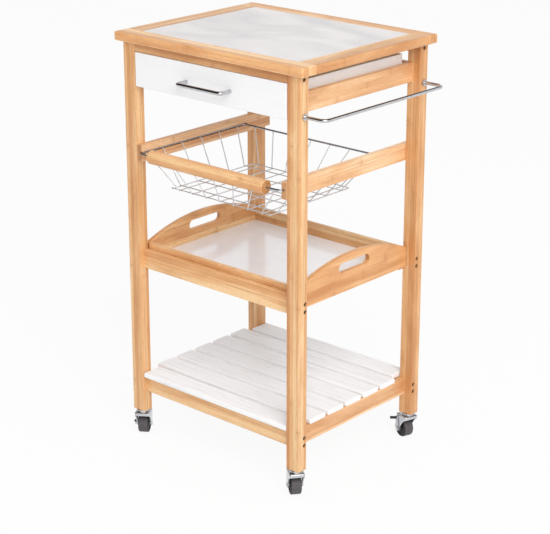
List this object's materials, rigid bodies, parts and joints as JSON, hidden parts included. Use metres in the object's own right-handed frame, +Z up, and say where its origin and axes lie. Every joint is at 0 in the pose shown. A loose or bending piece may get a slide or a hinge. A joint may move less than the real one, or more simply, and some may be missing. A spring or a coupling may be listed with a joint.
{
  "type": "kitchen cart",
  "caption": "Bamboo kitchen cart with an inlaid worktop, drawer, pull-out wire basket, removable tray, slatted shelf, towel rail and casters.",
  "frame": {"origin": "middle of the overall box in X and Y, on the floor under the wheels", "axes": "+Z up, the drawer opens towards -Y, the towel rail is on the +X side"},
  "size_m": [0.5511, 0.431, 0.88],
  "materials": {
    "bamboo": "clear satin lacquer on laminated bamboo",
    "white_paint": "satin white paint on wood",
    "tile_inlay": "smooth light grey with faint soft veins",
    "backing_board": "bare panel, hidden from above",
    "chrome": "bright chrome plate",
    "white_panel": "gloss white",
    "black_rubber": "matte black",
    "black_plastic": "satin black",
    "steel": "dark zinc plate"
  },
  "bodies": {
    "frame": {"top_border_front": "bamboo", "top_border_rear": "bamboo", "top_border_left": "bamboo", "top_border_right": "bamboo", "top_backing": "backing_board", "top_inlay": "tile_inlay", "front_left_leg": "bamboo", "front_right_leg": "bamboo", "rear_right_leg": "bamboo", "rear_left_leg": "bamboo", "front_top_rail": "bamboo", "rear_top_rail": "bamboo", "front_tray_rail": "bamboo", "rear_tray_rail": "bamboo", "front_tray_ledge": "bamboo", "rear_tray_ledge": "bamboo", "front_shelf_rail": "bamboo", "rear_shelf_rail": "bamboo", "left_side_rail": "bamboo", "right_side_rail": "bamboo", "left_shelf_rail": "bamboo", "right_shelf_rail": "bamboo", "left_drawer_runner": "bamboo", "right_drawer_runner": "bamboo", "rear_drawer_rail": "bamboo", "left_basket_guide": "bamboo", "right_basket_guide": "bamboo", "frame_bolts": "steel", "cross_nuts": "steel", "shelf_slats": "white_paint", "towel_rail": "chrome", "caster_stems": "chrome"},
    "drawer": {"drawer_front": "white_paint", "drawer_left_side": "white_paint", "drawer_right_side": "white_paint", "drawer_back": "white_paint", "drawer_bottom": "white_paint", "drawer_pull": "chrome"},
    "basket": {"basket_rim": "chrome", "basket_grip": "bamboo", "basket_floor": "chrome", "basket_left_wires": "chrome", "basket_right_wires": "chrome", "basket_rear_wires": "chrome", "basket_front_wires": "chrome"},
    "tray": {"tray_left_end": "bamboo", "tray_right_end": "bamboo", "tray_front_wall": "bamboo", "tray_rear_wall": "bamboo", "tray_panel": "white_panel"},
    "front_left_caster": {"front_left_caster_hood": "chrome"},
    "front_left_wheel": {"front_left_wheel": "black_rubber"},
    "front_left_brake": {"front_left_brake_lever": "black_plastic"},
    "front_right_caster": {"front_right_caster_hood": "chrome"},
    "front_right_wheel": {"front_right_wheel": "black_rubber"},
    "rear_right_caster": {"rear_right_caster_hood": "chrome"},
    "rear_right_wheel": {"rear_right_wheel": "black_rubber"},
    "rear_right_brake": {"rear_right_brake_lever": "black_plastic"},
    "rear_left_caster": {"rear_left_caster_hood": "chrome"},
    "rear_left_wheel": {"rear_left_wheel": "black_rubber"}
  },
  "joints": [
    {"name": "drawer_slide", "type": "slide", "parent": "frame", "child": "drawer", "axis": [0, -1, 0], "range_m": [0, 0.24]},
    {"name": "basket_slide", "type": "slide", "parent": "frame", "child": "basket", "axis": [0, -1, 0], "range_m": [0, 0.25]},
    {"name": "tray_slide", "type": "slide", "parent": "frame", "child": "tray", "axis": [1, 0, 0], "range_m": [-0.2, 0.2]},
    {"name": "front_left_swivel", "type": "hinge", "parent": "frame", "child": "front_left_caster", "pos_m": [-0.22996, -0.1715, 0.054], "axis": [0, 0, 1], "continuous": true},
    {"name": "front_left_roll", "type": "hinge", "parent": "front_left_caster", "child": "front_left_wheel", "pos_m": [-0.23723, -0.16072, 0.02], "axis": [-0.829, -0.5592, 0], "continuous": true},
    {"name": "front_left_brake_tip", "type": "hinge", "parent": "front_left_caster", "child": "front_left_brake", "pos_m": [-0.23723, -0.16072, 0.02], "axis": [-0.829, -0.5592, 0], "range_deg": [-78, 0]},
    {"name": "front_right_swivel", "type": "hinge", "parent": "frame", "child": "front_right_caster", "pos_m": [0.20604, -0.1715, 0.054], "axis": [0, 0, 1], "continuous": true},
    {"name": "front_right_roll", "type": "hinge", "parent": "front_right_caster", "child": "front_right_wheel", "pos_m": [0.19579, -0.1635, 0.02], "axis": [-0.6157, -0.788, 0], "continuous": true},
    {"name": "rear_right_swivel", "type": "hinge", "parent": "frame", "child": "rear_right_caster", "pos_m": [0.20604, 0.1925, 0.054], "axis": [0, 0, 1], "continuous": true},
    {"name": "rear_right_roll", "type": "hinge", "parent": "rear_right_caster", "child": "rear_right_wheel", "pos_m": [0.19375, 0.19673, 0.02], "axis": [-0.3256, -0.9455, 0], "continuous": true},
    {"name": "rear_right_brake_tip", "type": "hinge", "parent": "rear_right_caster", "child": "rear_right_brake", "pos_m": [0.19375, 0.19673, 0.02], "axis": [-0.3256, -0.9455, 0], "range_deg": [0, 78]},
    {"name": "rear_left_swivel", "type": "hinge", "parent": "frame", "child": "rear_left_caster", "pos_m": [-0.22996, 0.1925, 0.054], "axis": [0, 0, 1], "continuous": true},
    {"name": "rear_left_roll", "type": "hinge", "parent": "rear_left_caster", "child": "rear_left_wheel", "pos_m": [-0.24252, 0.19587, 0.02], "axis": [-0.2588, -0.9659, 0], "continuous": true}
  ]
}
